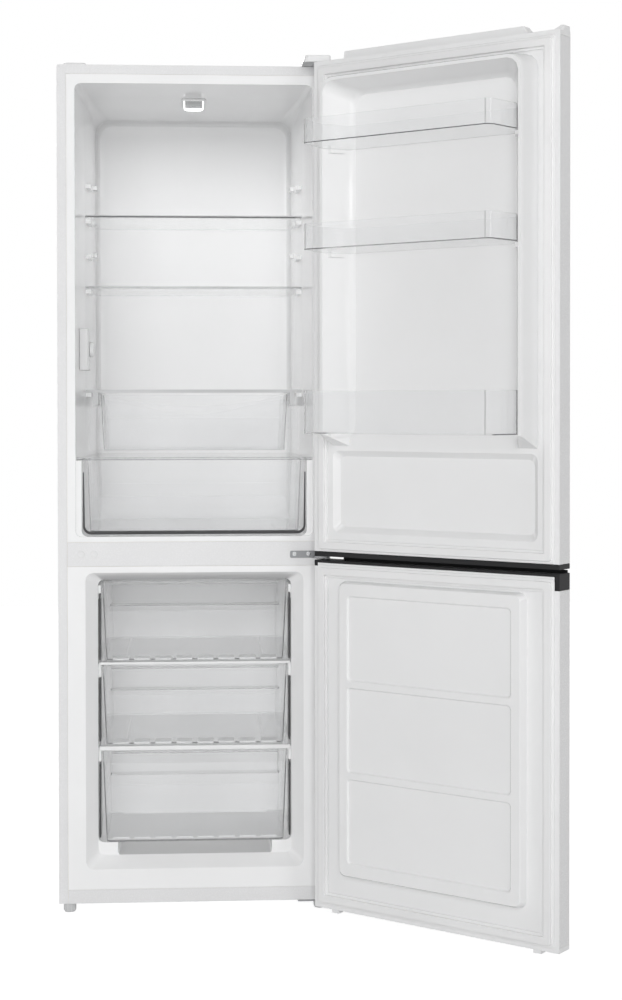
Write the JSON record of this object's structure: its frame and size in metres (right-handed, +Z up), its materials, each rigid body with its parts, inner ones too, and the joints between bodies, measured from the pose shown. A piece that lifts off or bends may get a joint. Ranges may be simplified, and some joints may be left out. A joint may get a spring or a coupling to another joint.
{
  "type": "bottom freezer refrigerator",
  "caption": "Tall white refrigerator with a freezer below, doors open to the right, glass shelves, clear drawers and door balconies.",
  "frame": {"origin": "middle of the footprint at floor level, measured with both doors standing open as in the picture", "axes": "+X to the right and +Y to the back seen from in front of the cabinet, +Z up"},
  "size_m": [1.0428, 1.091, 1.868],
  "materials": {
    "white_steel": "gloss",
    "galvanised_steel": "satin",
    "foam": "matte",
    "white_plastic": "satin",
    "compressor_paint": "satin",
    "black_plastic": "satin",
    "copper": "satin",
    "grey_plastic": "matte",
    "hinge_steel": "satin",
    "clear_plastic": "gloss",
    "glass": "gloss",
    "gasket_rubber": "matte"
  },
  "bodies": {
    "cabinet": {"outer_shell": "white_steel", "back_panel": "white_steel", "front_base_rail": "white_steel", "base_panel": "galvanised_steel", "bay_bulkhead": "galvanised_steel", "insulation_foam": "foam", "fridge_liner": "white_plastic", "freezer_liner": "white_plastic", "divider_panel": "white_steel", "compressor_base": "galvanised_steel", "compressor": "compressor_paint", "drip_tray": "black_plastic", "filter_drier": "copper", "middle_hinge": "hinge_steel", "bottom_hinge": "hinge_steel", "top_hinge_bracket": "hinge_steel", "top_hinge_cover": "white_plastic", "top_plug": "white_plastic", "lamp_housing": "white_plastic", "lamp_lens": "clear_plastic", "thermostat_housing": "white_plastic", "chiller_cover_glass": "glass", "chiller_cover_frame": "clear_plastic", "crisper_cover_glass": "glass", "crisper_cover_strip": "clear_plastic", "freezer_lower_shelf_glass": "glass", "freezer_lower_shelf_trim": "white_plastic", "freezer_upper_shelf_glass": "glass", "freezer_upper_shelf_trim": "white_plastic"},
    "upper_door": {"upper_door_skin": "white_steel", "upper_door_top_cap": "white_plastic", "upper_door_bottom_cap": "black_plastic", "upper_door_liner": "white_plastic", "upper_door_foam": "foam", "upper_door_gasket": "gasket_rubber"},
    "lower_door": {"lower_door_skin": "white_steel", "lower_door_grip_cap": "black_plastic", "lower_door_bottom_cap": "white_plastic", "lower_door_liner": "white_plastic", "lower_door_foam": "foam", "lower_door_gasket": "gasket_rubber"},
    "upper_shelf": {"upper_shelf_glass": "glass", "upper_shelf_front_trim": "clear_plastic", "upper_shelf_rear_trim": "clear_plastic"},
    "lower_shelf": {"lower_shelf_glass": "glass", "lower_shelf_front_trim": "clear_plastic", "lower_shelf_rear_trim": "clear_plastic"},
    "upper_door_balcony": {"upper_balcony": "clear_plastic"},
    "middle_door_balcony": {"middle_balcony": "clear_plastic"},
    "bottle_door_balcony": {"bottle_balcony": "clear_plastic"},
    "chiller_bin": {"chiller_drawer": "clear_plastic"},
    "crisper_bin": {"crisper_drawer": "clear_plastic"},
    "top_freezer_bin": {"freezer_drawer_top": "clear_plastic"},
    "middle_freezer_bin": {"freezer_drawer_middle": "clear_plastic"},
    "bottom_freezer_bin": {"freezer_drawer_bottom": "clear_plastic"},
    "temperature_dial": {"thermostat_dial": "white_plastic"},
    "left_foot": {"foot_left": "grey_plastic"},
    "right_foot": {"foot_right": "grey_plastic"},
    "left_roller": {"roller_left": "grey_plastic"},
    "right_roller": {"roller_right": "grey_plastic"}
  },
  "joints": [
    {"name": "upper_door_hinge", "type": "hinge", "parent": "cabinet", "child": "upper_door", "pos_m": [0.06308, -0.08749, 1.31], "axis": [0, 0, 1], "range_deg": [-140.5, 0]},
    {"name": "lower_door_hinge", "type": "hinge", "parent": "cabinet", "child": "lower_door", "pos_m": [0.06308, -0.08749, 0.4], "axis": [0, 0, 1], "range_deg": [-140.5, 0]},
    {"name": "upper_shelf_slide", "type": "slide", "parent": "cabinet", "child": "upper_shelf", "axis": [0, -1, 0], "range_m": [0, 0.28]},
    {"name": "lower_shelf_slide", "type": "slide", "parent": "cabinet", "child": "lower_shelf", "axis": [0, -1, 0], "range_m": [0, 0.28]},
    {"name": "chiller_drawer_slide", "type": "slide", "parent": "cabinet", "child": "chiller_bin", "axis": [0, -1, 0], "range_m": [0, 0.24]},
    {"name": "crisper_drawer_slide", "type": "slide", "parent": "cabinet", "child": "crisper_bin", "axis": [0, -1, 0], "range_m": [0, 0.3]},
    {"name": "top_freezer_drawer_slide", "type": "slide", "parent": "cabinet", "child": "top_freezer_bin", "axis": [0, -1, 0], "range_m": [0, 0.32]},
    {"name": "middle_freezer_drawer_slide", "type": "slide", "parent": "cabinet", "child": "middle_freezer_bin", "axis": [0, -1, 0], "range_m": [0, 0.32]},
    {"name": "bottom_freezer_drawer_slide", "type": "slide", "parent": "cabinet", "child": "bottom_freezer_bin", "axis": [0, -1, 0], "range_m": [0, 0.24]},
    {"name": "upper_balcony_lift", "type": "slide", "parent": "upper_door", "child": "upper_door_balcony", "axis": [0, 0, 1], "range_m": [0, 0.025]},
    {"name": "middle_balcony_lift", "type": "slide", "parent": "upper_door", "child": "middle_door_balcony", "axis": [0, 0, 1], "range_m": [0, 0.025]},
    {"name": "bottle_balcony_lift", "type": "slide", "parent": "upper_door", "child": "bottle_door_balcony", "axis": [0, 0, 1], "range_m": [0, 0.025]},
    {"name": "thermostat_dial_turn", "type": "hinge", "parent": "cabinet", "child": "temperature_dial", "pos_m": [-0.45666, 0.05751, 1.2339], "axis": [1, 0, 0], "range_deg": [0, 270]},
    {"name": "left_foot_turn", "type": "hinge", "parent": "cabinet", "child": "left_foot", "pos_m": [-0.49872, -0.02899, 0.01], "axis": [0, 0, 1], "continuous": true},
    {"name": "right_foot_turn", "type": "hinge", "parent": "cabinet", "child": "right_foot", "pos_m": [0.05088, -0.02899, 0.01], "axis": [0, 0, 1], "continuous": true},
    {"name": "left_roller_turn", "type": "hinge", "parent": "cabinet", "child": "left_roller", "pos_m": [-0.47392, 0.51351, 0.014], "axis": [1, 0, 0], "continuous": true},
    {"name": "right_roller_turn", "type": "hinge", "parent": "cabinet", "child": "right_roller", "pos_m": [0.02608, 0.51351, 0.014], "axis": [1, 0, 0], "continuous": true}
  ]
}
